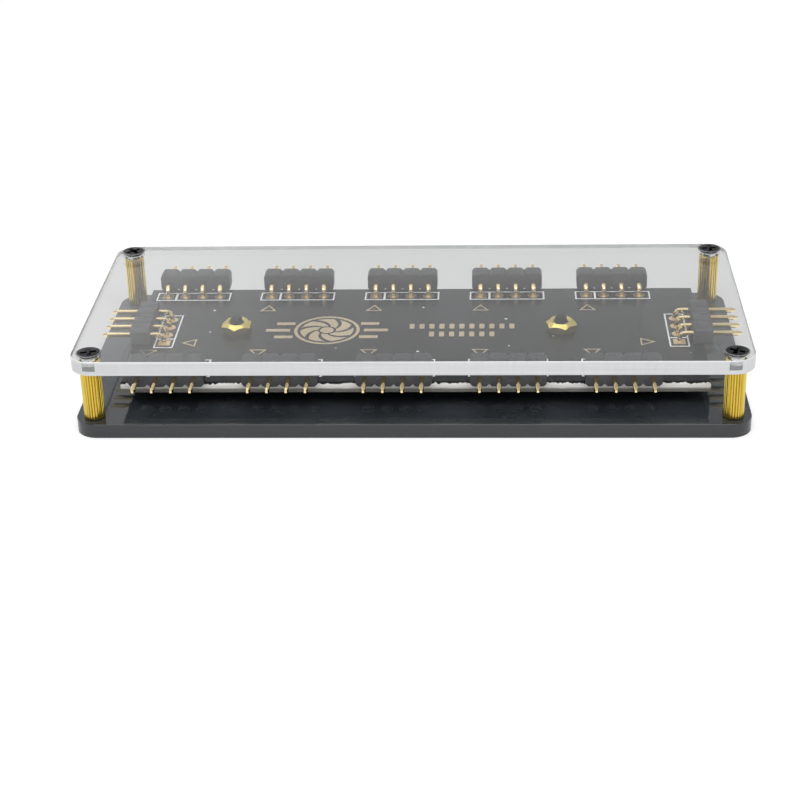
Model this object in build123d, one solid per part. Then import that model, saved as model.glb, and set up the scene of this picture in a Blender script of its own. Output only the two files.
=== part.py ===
from build123d import *
import math
import os

# A fan hub: a circuit board of right-angle pin headers, bolted between two acrylic plates.
# All sizes are in millimetres. The origin is the centre of the bottom plate's underside:
# +X runs along the hub, +Y to its back and +Z up through the top plate.

# Header pins: square wire, bent once
pin_pitch = 2.54
pins_per_header = 4
pin_size = 0.64
pin_reach = 4.0  # free length past the housing
pin_tip_size = 0.34
pin_tip_length = 0.45
pin_elbow_cut = 0.4  # outside of the bend
tail_gap = 0.8  # from the legs' ends to the bottom plate

# Header housings: one snap-off segment for each pin
housing_height = 2.54
housing_depth = 2.54  # along the pins
housing_notch = 0.38  # the vee groove between two segments
leg_to_housing = 1.9

# Header layout
headers_per_row = 5
header_gap = 5.08  # between two housings of a row
row_spacing = 22.6  # from the front row's legs to the back row's
side_header_shift = -0.75  # end headers, from the middle of the two rows

# Circuit board: its snapped edges keep the two vee scores and the web between them
board_thickness = 1.6
board_score_depth = 0.5
board_score_angle = 15.0
row_left_margin = 1.44  # board's left edge to the rows' first housing
row_right_margin = 6.54
front_leg_inset = 2.9  # board's front edge to the front row's legs
back_leg_inset = 2.6
left_leg_inset = 4.6
right_leg_inset = 3.4

# Acrylic plates: the room round the board sets their size
plate_thickness = 2.0
plate_corner_radius = 3.0
plate_left_margin = 5.65
plate_right_margin = 5.25
plate_front_margin = 5.5
plate_back_margin = 6.4

# Corner standoffs
standoff_diameter = 2.8  # over the knurl
standoff_edge_gap = 1.1  # to the plates' edges
knurl_count = 20
knurl_depth = 0.14
head_room = 1.06  # from the housings to the top plate

# Countersunk cross-recess screws
screw_diameter = 2.0
head_diameter = 3.5
recess_span = 2.2
recess_width = 0.6
recess_floor_width = 0.3
recess_depth = 0.5
top_head_proud = 0.35  # the top plate's countersinks are shallow
bottom_head_sunk = 0.1  # so that the bottom plate lies flat
screw_tip_gap = 1.25  # between the two screws in a standoff

# Nuts and spacers that hold the board
board_screw_spacing = 45.3  # on the line of the end headers
board_screw_end = 0.75  # past the nut
nut_across_flats = 4.0
nut_height = 1.6
nut_turns = {"left": 27.0, "right": 43.0}  # about the screw, as they were tightened
spacer_across_flats = 4.0
spacer_height = 2.0

# Clearances, each on one side
screw_clearance = 0.1  # screw in a plain hole
thread_clearance = 0.05  # screw in a threaded hole
seat_clearance = 0.03  # screw head in its countersink
pin_clearance = 0.02  # pin in its housing
leg_clearance = 0.05  # pin in the solder-filled hole of the board
cut_past = 1.0  # how far a cut runs past the face it opens

# Levels, from the bottom plate's underside up
tail_length = spacer_height - tail_gap
board_bottom = plate_thickness + spacer_height
board_top = board_bottom + board_thickness
top_plate_bottom = board_top + housing_height + head_room
stack_height = top_plate_bottom + plate_thickness
standoff_height = top_plate_bottom - plate_thickness
board_screw_top = board_top + nut_height + board_screw_end
board_screw_length = board_screw_top - bottom_head_sunk
corner_screw_length = (stack_height + top_head_proud - bottom_head_sunk - screw_tip_gap) / 2

# Plan of the board and the plates
header_length = pins_per_header * pin_pitch
header_pitch = header_length + header_gap
row_length = headers_per_row * header_pitch - header_gap
board_length = row_left_margin + row_length + row_right_margin
board_width = front_leg_inset + row_spacing + back_leg_inset
plate_length = plate_left_margin + board_length + plate_right_margin
plate_width = plate_front_margin + board_width + plate_back_margin
board_left = plate_left_margin - plate_length / 2
board_front = plate_front_margin - plate_width / 2
board_right = board_left + board_length
board_x = board_left + board_length / 2
board_y = board_front + board_width / 2
row_x = board_left + row_left_margin + row_length / 2
front_leg_y = board_front + front_leg_inset
back_leg_y = front_leg_y + row_spacing
side_header_y = (front_leg_y + back_leg_y) / 2 + side_header_shift
corner_inset = standoff_diameter / 2 + standoff_edge_gap
corner_x = plate_length / 2 - corner_inset
corner_y = plate_width / 2 - corner_inset

# Places that several pieces share
corners = {
    "front_left": (-corner_x, -corner_y),
    "front_right": (corner_x, -corner_y),
    "back_left": (-corner_x, corner_y),
    "back_right": (corner_x, corner_y),
}
board_screws = {
    "left": (row_x - board_screw_spacing / 2, side_header_y),
    "right": (row_x + board_screw_spacing / 2, side_header_y),
}
pin_offsets = [(i - (pins_per_header - 1) / 2) * pin_pitch for i in range(pins_per_header)]


def header_places():
    """Place of each header on the board, by name, turned so that its pins point out of the hub."""
    places = {}
    for i in range(headers_per_row):
        x = row_x + (i - (headers_per_row - 1) / 2) * header_pitch
        places[f"front_{i + 1}"] = Location((x, front_leg_y, board_top))
        places[f"back_{i + 1}"] = Location((x, back_leg_y, board_top), (0, 0, 180))
    left_leg_x = board_left + left_leg_inset
    right_leg_x = board_right - right_leg_inset
    places["left"] = Location((left_leg_x, side_header_y, board_top), (0, 0, -90))
    places["right"] = Location((right_leg_x, side_header_y, board_top), (0, 0, 90))
    return places


def turned(*points):
    """Solid of revolution about Z of a closed outline given as radius and height."""
    outline = make_face(Polyline(*points, close=True))
    return revolve(Plane.XZ * outline, Axis.Z)


def screw(length):
    """Countersunk screw in its own frame: the head's flat top at the origin, the shank along -Z."""
    head = head_diameter / 2
    shank = screw_diameter / 2
    blank = turned((0, 0), (head, 0), (shank, shank - head), (shank, -length), (0, -length))
    mouth = recess_width / 2
    floor = recess_floor_width / 2
    groove = Polyline((-mouth, 0), (mouth, 0), (floor, -recess_depth), (-floor, -recess_depth), close=True)
    slot = extrude(Plane.YZ * make_face(groove), amount=recess_span / 2, both=True)
    return blank - slot - Rot(0, 0, 90) * slot


def screw_seat():
    """Countersink and plain hole for a screw, in the screw's own frame."""
    head = head_diameter / 2 + seat_clearance
    hole = screw_diameter / 2 + screw_clearance
    end = -plate_thickness - top_head_proud - cut_past
    return turned((0, cut_past), (head + cut_past, cut_past), (hole, hole - head), (hole, end), (0, end))


def from_above(place):
    """Location of a screw's frame in the top plate."""
    return Location((*place, stack_height + top_head_proud))


def from_below(place):
    """Location of a screw's frame in the bottom plate, upside down."""
    return Location((*place, bottom_head_sunk), (180, 0, 0))


def plate(bottom, seats):
    """Acrylic sheet with rounded corners, drilled and countersunk at the given locations."""
    outline = RectangleRounded(plate_length, plate_width, plate_corner_radius)
    sheet = extrude(Plane.XY.offset(bottom) * outline, amount=plate_thickness)
    return sheet - [seat * screw_seat() for seat in seats]


def standoff():
    """Threaded round standoff with a straight knurl, its foot at the origin."""
    ridge = standoff_diameter / 2
    radii = (ridge, ridge - knurl_depth)
    step = math.pi / knurl_count
    knurl = [
        (radii[i % 2] * math.cos(i * step), radii[i % 2] * math.sin(i * step))
        for i in range(2 * knurl_count)
    ]
    section = make_face(Polyline(*knurl, close=True)) - Circle(screw_diameter / 2 + thread_clearance)
    return extrude(section, amount=standoff_height)


def hex_tube(across_flats, height, clearance):
    """Hexagonal prism round a screw, its lower face at the origin."""
    section = RegularPolygon(across_flats / 2, 6, major_radius=False)
    section -= Circle(screw_diameter / 2 + clearance)
    return extrude(section, amount=height)


def circuit_board(places):
    """Board with scored and snapped edges, drilled for every header leg and both screws."""
    outline = Rectangle(board_length, board_width)
    web = (board_thickness - 2 * board_score_depth) / 2
    upper_score = extrude(Plane.XY.offset(web) * outline, amount=board_score_depth, taper=board_score_angle)
    lower_score = mirror(upper_score, Plane.XY)
    slab = extrude(outline, amount=web, both=True) + upper_score + lower_score
    slab = Pos(board_x, board_y, board_bottom + board_thickness / 2) * slab

    leg_size = pin_size + 2 * leg_clearance
    cut_height = 2 * (board_thickness + cut_past)
    leg_hole = Box(leg_size, leg_size, cut_height)
    screw_hole = Cylinder(screw_diameter / 2 + screw_clearance, cut_height)
    legs = [place * Pos(x) * leg_hole for place in places for x in pin_offsets]
    screws = [Pos(*place, board_top) * screw_hole for place in board_screws.values()]
    return slab - legs - screws


def housing():
    """Header housing in the header's frame: pins point to -Y, the board's face is the XY plane."""
    segment = Rectangle(pin_pitch, housing_height)
    segment = chamfer(segment.vertices(), housing_notch)
    pin_hole = Rectangle(pin_size + 2 * pin_clearance, pin_size + 2 * pin_clearance)
    strip = Sketch() + [Pos(x) * segment for x in pin_offsets]
    strip -= [Pos(x) * pin_hole for x in pin_offsets]
    back_face = Plane.XZ.offset(leg_to_housing) * Pos(0, housing_height / 2)
    return extrude(back_face * strip, amount=housing_depth)


def pin():
    """One bent pin in the header's frame: leg, elbow and run, with a taper at the run's end."""
    half = pin_size / 2
    run = housing_height / 2
    foot = -board_thickness - tail_length
    end = -leg_to_housing - housing_depth - pin_reach
    side = Polyline(
        (half, foot),
        (half, run + half - pin_elbow_cut),
        (half - pin_elbow_cut, run + half),
        (end, run + half),
        (end, run - half),
        (-half, run - half),
        (-half, foot),
        close=True,
    )
    wire = extrude(Plane.YZ * make_face(side), amount=half, both=True)
    tip = wire.faces().sort_by(Axis.Y)[0]
    narrowing = (pin_size - pin_tip_size) / 2
    return chamfer(tip.edges(), length=narrowing, length2=pin_tip_length, reference=tip)


def pin_set():
    """The pins of one header, as separate solids in the header's frame."""
    wire = pin()
    return [Pos(x) * wire for x in pin_offsets]


def build():
    """Every piece of the hub in place, by name."""
    headers = header_places()
    pieces = {
        "top_plate": plate(top_plate_bottom, [from_above(place) for place in corners.values()]),
        "bottom_plate": plate(
            0, [from_below(place) for place in (*corners.values(), *board_screws.values())]
        ),
        "circuit_board": circuit_board(headers.values()),
    }
    for name, place in corners.items():
        pieces[f"standoff_{name}"] = Pos(*place, plate_thickness) * standoff()
        pieces[f"top_screw_{name}"] = from_above(place) * screw(corner_screw_length)
        pieces[f"bottom_screw_{name}"] = from_below(place) * screw(corner_screw_length)
    for name, place in board_screws.items():
        spacer = hex_tube(spacer_across_flats, spacer_height, screw_clearance)
        nut = Rot(0, 0, nut_turns[name]) * hex_tube(nut_across_flats, nut_height, thread_clearance)
        pieces[f"board_spacer_{name}"] = Pos(*place, plate_thickness) * spacer
        pieces[f"board_nut_{name}"] = Pos(*place, board_top) * nut
        pieces[f"board_screw_{name}"] = from_below(place) * screw(board_screw_length)
    for name, place in headers.items():
        pieces[f"housing_{name}"] = place * housing()
        pieces[f"pins_{name}"] = Compound([place * wire for wire in pin_set()])
    return pieces


def main():
    """Write each piece to its own file in parts/."""
    os.makedirs("parts", exist_ok=True)
    for name, piece in build().items():
        piece.label = name
        export_step(piece, os.path.join("parts", f"{name}.step"))


if __name__ == "__main__":
    main()
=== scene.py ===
"""Looks of a fan hub: a circuit board of right-angle pin headers, bolted between two acrylic plates."""

import logging
import math
from dataclasses import dataclass
from enum import Enum
from typing import Sequence

import bmesh
import bpy
from bmesh.types import BMEdge, BMesh, BMFace, BMVert
from bpy.types import Material, Node, NodeSocket, NodeTree, Object
from mathutils import Matrix, Vector


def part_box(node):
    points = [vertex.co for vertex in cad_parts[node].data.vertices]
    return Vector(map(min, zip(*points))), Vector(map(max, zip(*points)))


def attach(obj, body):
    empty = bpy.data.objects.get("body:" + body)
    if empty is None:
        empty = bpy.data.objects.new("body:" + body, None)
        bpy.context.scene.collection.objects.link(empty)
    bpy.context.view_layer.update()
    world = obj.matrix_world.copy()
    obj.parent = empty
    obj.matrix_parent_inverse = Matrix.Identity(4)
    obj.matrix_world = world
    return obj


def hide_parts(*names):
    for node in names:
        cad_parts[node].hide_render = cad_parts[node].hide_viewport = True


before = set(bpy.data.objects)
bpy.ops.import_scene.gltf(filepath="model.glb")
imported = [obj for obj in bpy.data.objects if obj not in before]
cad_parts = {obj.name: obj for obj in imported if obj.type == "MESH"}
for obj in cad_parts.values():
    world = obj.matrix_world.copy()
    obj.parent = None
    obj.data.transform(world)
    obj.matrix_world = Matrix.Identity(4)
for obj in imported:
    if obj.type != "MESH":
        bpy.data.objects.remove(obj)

# Sizes are in millimetres, in the frame of the CAD model. A piece's mesh is turned to metres at the end.
MM = 0.001
BODY = "root"
ACRYLIC_IOR = 1.49

Pair = tuple[float, float]
Grain = tuple[float, float, float]
Value = NodeSocket | float
Inputs = dict[str | int, object]

log = logging.getLogger("fan_hub")


def extent(node: str) -> tuple[Vector, Vector]:
    """Give a CAD node's lowest and highest corners in millimetres."""
    low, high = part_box(node)
    return low / MM, high / MM


def linear(hex_code: str) -> tuple[float, float, float, float]:
    """Turn an sRGB colour to linear light.

    Args:
        hex_code: The colour as six hex digits.

    Returns:
        Red, green, blue and an alpha of 1.
    """
    shares = [int(hex_code[i : i + 2], 16) / 255 for i in (0, 2, 4)]
    light = [s / 12.92 if s <= 0.04045 else ((s + 0.055) / 1.055) ** 2.4 for s in shares]
    return (light[0], light[1], light[2], 1.0)


def add_node(tree: NodeTree, kind: str, inputs: Inputs | None = None, **settings: object) -> Node:
    """Add a node with its settings, constants and links.

    Args:
        tree: The node tree that gets the node.
        kind: Blender's name for the node.
        inputs: A constant, or a socket to link from, for each input by name or number.
        settings: The node's own properties.

    Returns:
        The new node.
    """
    node = tree.nodes.new(kind)
    for name, value in settings.items():
        setattr(node, name, value)
    for key, value in (inputs or {}).items():
        if isinstance(value, NodeSocket):
            tree.links.new(value, node.inputs[key])
        else:
            node.inputs[key].default_value = value
    return node


def mottle(tree: NodeTree, where: NodeSocket, grain: Grain, span: Pair = (0.0, 1.0)) -> NodeSocket:
    """Add a soft random pattern between two values.

    Args:
        tree: The material's node tree.
        where: The place on the piece, in millimetres.
        grain: The pattern's size along each axis, in millimetres.
        span: The lowest and the highest value.

    Returns:
        The socket that gives the value.
    """
    rate = tuple(1 / size for size in grain)
    local = add_node(tree, "ShaderNodeVectorMath", {0: where, 1: rate}, operation="MULTIPLY").outputs[0]
    noise = add_node(tree, "ShaderNodeTexNoise", {"Vector": local, "Scale": 1.0, "Detail": 3.0})
    ends = {"From Min": 0.3, "From Max": 0.7, "To Min": span[0], "To Max": span[1]}
    return add_node(tree, "ShaderNodeMapRange", {"Value": noise.outputs[0], **ends}).outputs[0]


def specks(tree: NodeTree, where: NodeSocket, cell: float, radius: float, share: float) -> NodeSocket:
    """Strew small round specks over level faces.

    Args:
        tree: The material's node tree.
        where: The place on the piece, in millimetres.
        cell: How far apart they may lie, in millimetres.
        radius: The largest speck's radius, in millimetres.
        share: The share of the cells that hold one.

    Returns:
        The socket that gives 1 on a speck and 0 beside it.
    """
    pattern = {"Vector": where, "Scale": 1 / cell}
    cells = add_node(tree, "ShaderNodeTexVoronoi", pattern, voronoi_dimensions="2D")
    lot = add_node(tree, "ShaderNodeSeparateColor", {0: cells.outputs["Color"]})
    sizes = {"Value": lot.outputs[0], "From Max": share, "To Min": radius / cell, "To Max": 0.0}
    size = add_node(tree, "ShaderNodeMapRange", sizes).outputs[0]
    inside = {0: cells.outputs["Distance"], 1: size}
    return add_node(tree, "ShaderNodeMath", inside, operation="LESS_THAN").outputs[0]


def side_mask(tree: NodeTree) -> NodeSocket:
    """Give 1 on upright faces and 0 on level ones.

    Args:
        tree: The material's node tree.

    Returns:
        The socket that gives the mask.
    """
    face = add_node(tree, "ShaderNodeNewGeometry")
    parts = add_node(tree, "ShaderNodeSeparateXYZ", {0: face.outputs["Normal"]})
    level = add_node(tree, "ShaderNodeMath", {0: parts.outputs["Z"]}, operation="ABSOLUTE").outputs[0]
    ends = {"From Min": 0.6, "From Max": 0.8, "To Min": 1.0, "To Max": 0.0}
    return add_node(tree, "ShaderNodeMapRange", {"Value": level, **ends}).outputs[0]


@dataclass(frozen=True)
class Finish:
    """A surface finish: one procedural material, named for what it is and how it was made."""

    name: str
    slot: str

    def material(self) -> Material:
        """Build the material once.

        Returns:
            The finish as a Blender material.
        """
        known = bpy.data.materials.get(self.name)
        if known:
            return known
        made = bpy.data.materials.new(self.name)
        made.use_nodes = True
        tree = made.node_tree
        tree.nodes.clear()
        place = add_node(tree, "ShaderNodeTexCoord").outputs["Object"]
        where = add_node(tree, "ShaderNodeVectorMath", {0: place, "Scale": 1 / MM}, operation="SCALE")
        shader = add_node(tree, "ShaderNodeBsdfPrincipled", self.paint(tree, where.outputs[0]))
        add_node(tree, "ShaderNodeOutputMaterial", {"Surface": shader.outputs[0]})
        return made

    def paint(self, tree: NodeTree, where: NodeSocket) -> Inputs:
        """Work out what goes into the shader.

        Args:
            tree: The material's node tree.
            where: The place on the piece, in millimetres.

        Returns:
            A constant or a socket for each of the shader's inputs that is set.
        """
        raise NotImplementedError


@dataclass(frozen=True)
class ClearAcrylic(Finish):
    """Cast clear acrylic sheet: the faces keep the mould's polish, with faint wipe marks."""

    name: str = "cast_clear_acrylic"
    slot: str = "clear_acrylic"
    tint: str = "fcfdfd"

    def paint(self, tree: NodeTree, where: NodeSocket) -> Inputs:
        """Clear and hard, with wipe marks. See Finish.paint."""
        return {
            "Base Color": linear(self.tint),
            "Roughness": mottle(tree, where, grain=(14.0, 5.0, 5.0), span=(0.0, 0.02)),
            "Transmission Weight": 1.0,
            "IOR": ACRYLIC_IOR,
        }


@dataclass(frozen=True)
class CutAcrylic(Finish):
    """Edge of clear acrylic sheet, laser cut: its opaque near-white colour is painted light, standing for the
    light the sheet gathers to its edge, with level lines.
    """

    name: str = "laser_cut_acrylic_edge"
    slot: str = "clear_acrylic"
    # glow is the edge's near-white base colour: painted light for what the sheet gathers to its edge; there
    # is no emission.
    glow: str = "fdfefe"
    line: str = "e6e9eb"
    clear: float = 0.0  # share that is still clear

    def paint(self, tree: NodeTree, where: NodeSocket) -> Inputs:
        """Painted pale light, frosted, with level lines and fine upright ones. See Finish.paint."""
        level = mottle(tree, where, grain=(40.0, 40.0, 0.5), span=(0.0, 0.8))
        fine = mottle(tree, where, grain=(0.3, 0.3, 7.0), span=(0.0, 0.2))
        lines = add_node(tree, "ShaderNodeMath", {0: level, 1: fine}, operation="ADD").outputs[0]
        tones = {0: lines, 6: linear(self.glow), 7: linear(self.line)}
        return {
            "Base Color": add_node(tree, "ShaderNodeMix", tones, data_type="RGBA").outputs[2],
            "Roughness": mottle(tree, where, grain=(0.3, 0.3, 7.0), span=(0.08, 0.2)),
            "Transmission Weight": self.clear,
            "IOR": ACRYLIC_IOR,
        }


@dataclass(frozen=True)
class BlackAcrylic(Finish):
    """Cast black acrylic sheet, laser cut: a piano-black mirror with hairlines, duller at the edge."""

    name: str = "cast_black_acrylic"
    slot: str = "black_acrylic"
    deep: str = "2b3035"
    worn: str = "363b40"
    sawn: str = "3b3e40"

    def paint(self, tree: NodeTree, where: NodeSocket) -> Inputs:
        """Black gloss, a little worn where it was wiped. See Finish.paint."""
        cut = side_mask(tree)
        hairs = mottle(tree, where, grain=(9.0, 0.25, 4.0), span=(0.02, 0.07))
        lines = mottle(tree, where, grain=(0.2, 0.2, 6.0), span=(0.2, 0.27))
        haze = mottle(tree, where, grain=(6.0, 6.0, 6.0))
        tones = {0: haze, 6: linear(self.deep), 7: linear(self.worn)}
        sheet = add_node(tree, "ShaderNodeMix", tones, data_type="RGBA").outputs[2]
        sides = {0: cut, 6: sheet, 7: linear(self.sawn)}
        return {
            "Base Color": add_node(tree, "ShaderNodeMix", sides, data_type="RGBA").outputs[2],
            "Roughness": add_node(tree, "ShaderNodeMix", {0: cut, 2: hairs, 3: lines}).outputs[0],
            "IOR": ACRYLIC_IOR,
        }


@dataclass(frozen=True)
class SolderMask(Finish):
    """Black solder mask on glass laminate, scored and snapped: satin black, with pale torn fibre at the edge.

    The upper score is dark with a ragged end, the web below it is the whitest, and the lower score is greyer:
    partly the resin's own tone, partly painted shade where the edge is lit less from above.
    """

    name: str = "solder_mask_on_laminate"
    slot: str = "solder_mask"
    mask: str = "16171a"
    thin: str = "212225"
    # Greyer tone of the lower edge: the resin's own tone, and partly painted shade for the part lit less from
    # above.
    resin_and_shade: str = "898781"
    fibre: str = "fbfaf6"
    dust: str = "e6e8e8"
    pale: Pair = (0.5, 0.8)  # height on the edge where the pale fibre starts over the greyer, partly painted-shade lower part, and where it is full
    score: Pair = (1.15, 1.5)  # height between which the upper score's dark end is ragged
    torn_rough: float = 0.75

    def paint(self, tree: NodeTree, where: NodeSocket) -> Inputs:
        """Black mask on the faces, torn fibre on the edges, a little dust. See Finish.paint."""
        foot = extent("circuit_board")[0].z
        weave = mottle(tree, where, grain=(1.2, 1.2, 1.2))
        tones = {0: weave, 6: linear(self.mask), 7: linear(self.thin)}
        dark = add_node(tree, "ShaderNodeMix", tones, data_type="RGBA").outputs[2]
        dust = specks(tree, where, cell=6.0, radius=0.3, share=0.35)
        specked = {0: dust, 6: dark, 7: linear(self.dust)}
        dusty = add_node(tree, "ShaderNodeMix", specked, data_type="RGBA").outputs[2]
        height = add_node(tree, "ShaderNodeSeparateXYZ", {0: where}).outputs["Z"]
        score = (foot + self.score[0], foot + self.score[1])
        ragged = mottle(tree, where, grain=(0.5, 0.5, 4.0), span=score)
        below = add_node(tree, "ShaderNodeMath", {0: height, 1: ragged}, operation="LESS_THAN")
        bare = {0: below.outputs[0], 1: side_mask(tree)}
        edge = add_node(tree, "ShaderNodeMath", bare, operation="MINIMUM").outputs[0]
        tears = mottle(tree, where, grain=(1.6, 1.6, 0.09), span=(-0.2, 0.25))
        web = {"Value": height, "From Min": foot + self.pale[0], "From Max": foot + self.pale[1]}
        torn = {0: tears, 1: add_node(tree, "ShaderNodeMapRange", web).outputs[0]}
        pale = add_node(tree, "ShaderNodeMath", torn, operation="ADD", use_clamp=True).outputs[0]
        fibres = {0: pale, 6: linear(self.resin_and_shade), 7: linear(self.fibre)}
        core = add_node(tree, "ShaderNodeMix", fibres, data_type="RGBA").outputs[2]
        gloss = mottle(tree, where, grain=(0.35, 0.35, 0.35), span=(0.16, 0.26))
        ripple = mottle(tree, where, grain=(0.5, 0.5, 0.12))
        relief = {"Height": ripple, "Strength": 0.06, "Distance": 0.05 * MM}
        colour = add_node(tree, "ShaderNodeMix", {0: edge, 6: dusty, 7: core}, data_type="RGBA")
        return {
            "Base Color": colour.outputs[2],
            "Roughness": add_node(tree, "ShaderNodeMix", {0: edge, 2: gloss, 3: self.torn_rough}).outputs[0],
            "Normal": add_node(tree, "ShaderNodeBump", relief).outputs[0],
            "IOR": 1.5,
            "Specular IOR Level": 0.25,
        }


@dataclass(frozen=True)
class MouldedPlastic(Finish):
    """Glass-filled polyester, injection moulded: dull black with the fine grit of a spark-eroded mould."""

    name: str = "moulded_black_polyester"
    slot: str = "header_plastic"
    dark: str = "37383b"
    grey: str = "444548"

    def paint(self, tree: NodeTree, where: NodeSocket) -> Inputs:
        """Dull black with grit. See Finish.paint."""
        grit = mottle(tree, where, grain=(0.09, 0.09, 0.09))
        flow = mottle(tree, where, grain=(1.4, 0.6, 0.6))
        tones = {0: flow, 6: linear(self.dark), 7: linear(self.grey)}
        relief = {"Height": grit, "Strength": 0.15, "Distance": 0.02 * MM}
        return {
            "Base Color": add_node(tree, "ShaderNodeMix", tones, data_type="RGBA").outputs[2],
            "Roughness": mottle(tree, where, grain=(0.4, 0.4, 0.4), span=(0.48, 0.62)),
            "Normal": add_node(tree, "ShaderNodeBump", relief).outputs[0],
            "IOR": 1.55,
        }


@dataclass(frozen=True)
class Metal(Finish):
    """A bare or plated metal: two tones, and streaks left by how it was drawn, turned or dipped."""

    name: str
    slot: str
    light: str
    dark: str
    grain: Grain
    rough: Pair
    relief: float = 0.0

    def paint(self, tree: NodeTree, where: NodeSocket) -> Inputs:
        """Two tones and uneven polish along the grain. See Finish.paint."""
        tone = mottle(tree, where, self.grain)
        tones = {0: tone, 6: linear(self.light), 7: linear(self.dark)}
        relief = {"Height": tone, "Strength": self.relief, "Distance": 0.02 * MM}
        return {
            "Base Color": add_node(tree, "ShaderNodeMix", tones, data_type="RGBA").outputs[2],
            "Roughness": mottle(tree, where, self.grain, self.rough),
            "Normal": add_node(tree, "ShaderNodeBump", relief).outputs[0],
            "Metallic": 1.0,
        }


@dataclass(frozen=True)
class SilkInk(Finish):
    """White epoxy ink, screen printed: matt, a little thin where the mesh left less of it."""

    name: str = "white_silkscreen_ink"
    slot: str = "white_ink"
    full: str = "f4f5f6"
    thin: str = "d3d6d8"
    mesh: Grain = (0.22, 0.22, 0.22)

    def paint(self, tree: NodeTree, where: NodeSocket) -> Inputs:
        """Matt white, uneven. See Finish.paint."""
        tones = {0: mottle(tree, where, self.mesh), 6: linear(self.full), 7: linear(self.thin)}
        return {
            "Base Color": add_node(tree, "ShaderNodeMix", tones, data_type="RGBA").outputs[2],
            "Roughness": mottle(tree, where, self.mesh, span=(0.45, 0.6)),
        }


CLEAR = ClearAcrylic()
CUT = CutAcrylic()
# The same edge, with the same painted pale light, where a screw shows through it.
POLISHED = CutAcrylic("laser_polished_acrylic_edge", clear=0.65)
BLACK = BlackAcrylic()
BOARD = SolderMask()
PLASTIC = MouldedPlastic()
INK = SilkInk()
# Gold flash over nickel on drawn wire: pale yellow and bright, a little uneven.
GILT = Metal("gold_flashed_wire", "gilt_pin", "fae6b6", "ead09a", (0.2, 0.2, 0.2), (0.04, 0.1))
# Immersion gold on etched copper: flat tan gold with the satin of the etch.
ETCHED = Metal("immersion_gold_on_copper", "gilt_pin", "f7e6c8", "e6d0aa", (0.3, 0.3, 0.3), (0.3, 0.42))
# Free-cutting brass, turned and knurled: strong yellow with streaks along the bar.
BRASS = Metal("turned_brass", "brass", "e2cc68", "bfa13e", (0.1, 0.1, 4.0), (0.18, 0.32), 0.1)
# Free-cutting brass, machined: clean faces. Its yellow is lighter than the posts' turned brass as painted
# light, for the brighter light on the nuts and spacers.
BRASS_PAINTED_LIGHTER = Metal("machined_brass_painted_lighter", "brass", "fdeb92", "f0d670", (0.5, 0.5, 0.5), (0.1, 0.2))
# Black zinc on steel: near black, semi-gloss, uneven from the bath.
ZINC = Metal("black_zinc_on_steel", "black_screw", "2e2e32", "1c1c1f", (0.3, 0.3, 0.3), (0.16, 0.3), 0.1)
# A ring of pale steel all round the head's rim, lighter than the black zinc and uneven in patches: a painted
# highlight.
ZINC_RIM_HIGHLIGHT = Metal("worn_zinc_rim", "black_screw", "c8cacd", "7a7b7f", (0.3, 0.3, 0.3), (0.16, 0.3))
# Tin solder, wave soldered: bright grey, smooth, with a slightly frosted skin.
TIN = Metal("wave_solder", "solder", "c9cbce", "a9acb0", (0.3, 0.3, 0.3), (0.16, 0.3), 0.1)


def make_piece(
    name: str,
    shape: BMesh,
    finish: Finish,
    replaces: Sequence[str] = (),
    place: Matrix | None = None,
    others: Sequence[Finish] = (),
    crease: float = 28.0,
) -> Object:
    """Turn a shape to a finished piece that rides on the hub.

    Args:
        name: The piece's name.
        shape: Its mesh in millimetres, which is used up.
        finish: Its finish.
        replaces: The CAD nodes that it stands for.
        place: Its place on the hub, in millimetres.
        others: The finishes of the faces that were given material 1, 2 and so on.
        crease: The angle in degrees from which an edge is sharp.

    Returns:
        The new object.
    """
    whole = Matrix.Scale(MM, 4) @ (place or Matrix.Identity(4))
    bmesh.ops.transform(shape, matrix=whole, verts=shape.verts[:])
    mesh = bpy.data.meshes.new(name)
    shape.to_mesh(mesh)
    shape.free()
    mesh.shade_smooth()
    mesh.set_sharp_from_angle(angle=math.radians(crease))
    for coat in (finish, *others):
        mesh.materials.append(coat.material())
    piece = bpy.data.objects.new(name, mesh)
    bpy.context.scene.collection.objects.link(piece)
    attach(piece, BODY)
    if replaces:
        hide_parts(*replaces)
    log.info("%s: %d faces, %s", name, len(mesh.polygons), finish.name)
    return piece


def dress(node: str, finish: Finish) -> None:
    """Give a CAD node its finish.

    Args:
        node: The node's name.
        finish: The finish.
    """
    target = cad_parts[node]
    target.data.materials.clear()
    target.data.materials.append(finish.material())
    log.info("%s: as modelled, %s", node, finish.name)


def everything(shape: BMesh) -> list[BMVert | BMEdge | BMFace]:
    """List all of a shape's vertices, edges and faces."""
    return shape.verts[:] + shape.edges[:] + shape.faces[:]


def face_outward(shape: BMesh) -> BMesh:
    """Turn all of a shape's faces outward, and give it back."""
    bmesh.ops.recalc_face_normals(shape, faces=shape.faces[:])
    return shape


def fresh_edges(verts: Sequence[BMVert]) -> list[BMEdge]:
    """List the edges between the given vertices, each once."""
    chosen = set(verts)
    return list({e: None for v in verts for e in v.link_edges if e.other_vert(v) in chosen})


def rectangle(shape: BMesh, size: Sequence[float], place: Matrix | None = None) -> list[BMVert]:
    """Add a flat rectangle, moved from the origin to its place, and give its corners."""
    whole = (place or Matrix.Identity(4)) @ Matrix.Diagonal((*size, 1, 1))
    return bmesh.ops.create_grid(shape, x_segments=1, y_segments=1, size=0.5, matrix=whole)["verts"]


def round_corners(shape: BMesh, corners: Sequence[BMVert], radius: float, segments: int) -> list[BMVert]:
    """Round corners of flat faces, or cut them with one segment, and give the new vertices."""
    made = bmesh.ops.bevel(
        shape, geom=corners, affect="VERTICES", offset=radius, segments=segments, profile=0.5, material=-1
    )
    return made["verts"]


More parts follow.
